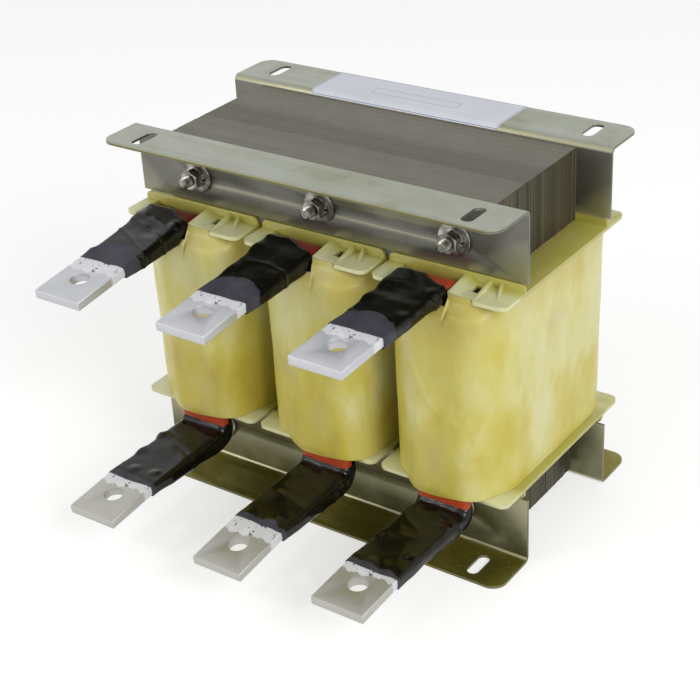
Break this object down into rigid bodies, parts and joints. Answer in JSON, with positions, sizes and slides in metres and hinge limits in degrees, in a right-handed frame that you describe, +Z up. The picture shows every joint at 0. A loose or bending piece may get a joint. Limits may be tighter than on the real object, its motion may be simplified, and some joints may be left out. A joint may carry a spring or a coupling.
{
  "type": "electrical reactor",
  "caption": "Three phase iron core reactor with wrapped foil coils, folded clamp frame and flat drilled aluminium leads.",
  "frame": {"origin": "on the foot plane, at the centre of the four slots of the lower clamps", "axes": "+X along the core, -Y towards the terminals, +Z up"},
  "size_m": [0.24, 0.232, 0.2006],
  "materials": {
    "laminated_steel": "varnished stack of thin sheets",
    "clamp_zinc": "yellow tinted zinc plate",
    "fastener_zinc": "bright zinc plate",
    "former_plastic": "glass filled polyester under clear varnish",
    "winding_foil": "wound foil edges",
    "wrap_paper": "varnished insulating paper",
    "lead_aluminium": "matt rolled bar",
    "red_fibre": "varnished red fibre sleeve",
    "black_shrink": "glossy wrinkled heat shrink",
    "pressboard": "pressed board",
    "label_film": "white polyester film"
  },
  "bodies": {
    "root": {"core_e_stack": "laminated_steel", "core_yoke_stack": "laminated_steel", "air_gap_spacers": "pressboard", "rating_label": "label_film", "upper_front_clamp": "clamp_zinc", "upper_front_washers": "fastener_zinc", "upper_back_clamp": "clamp_zinc", "upper_back_washers": "fastener_zinc", "upper_clamp_bolts": "fastener_zinc", "upper_clamp_nuts": "fastener_zinc", "upper_spring_washers": "fastener_zinc", "upper_bolt_bushes": "pressboard", "lower_front_clamp": "clamp_zinc", "lower_front_washers": "fastener_zinc", "lower_back_clamp": "clamp_zinc", "lower_back_washers": "fastener_zinc", "lower_clamp_bolts": "fastener_zinc", "lower_clamp_nuts": "fastener_zinc", "lower_spring_washers": "fastener_zinc", "lower_bolt_bushes": "pressboard", "left_coil_former": "former_plastic", "left_foil_winding": "winding_foil", "left_coil_wrap": "wrap_paper", "left_upper_terminal_bar": "lead_aluminium", "left_upper_fibre_sleeve": "red_fibre", "left_upper_shrink_sleeve": "black_shrink", "left_lower_terminal_bar": "lead_aluminium", "left_lower_fibre_sleeve": "red_fibre", "left_lower_shrink_sleeve": "black_shrink", "middle_coil_former": "former_plastic", "middle_foil_winding": "winding_foil", "middle_coil_wrap": "wrap_paper", "middle_upper_terminal_bar": "lead_aluminium", "middle_upper_fibre_sleeve": "red_fibre", "middle_upper_shrink_sleeve": "black_shrink", "middle_lower_terminal_bar": "lead_aluminium", "middle_lower_fibre_sleeve": "red_fibre", "middle_lower_shrink_sleeve": "black_shrink", "right_coil_former": "former_plastic", "right_foil_winding": "winding_foil", "right_coil_wrap": "wrap_paper", "right_upper_terminal_bar": "lead_aluminium", "right_upper_fibre_sleeve": "red_fibre", "right_upper_shrink_sleeve": "black_shrink", "right_lower_terminal_bar": "lead_aluminium", "right_lower_fibre_sleeve": "red_fibre", "right_lower_shrink_sleeve": "black_shrink"}
  },
  "joints": []
}
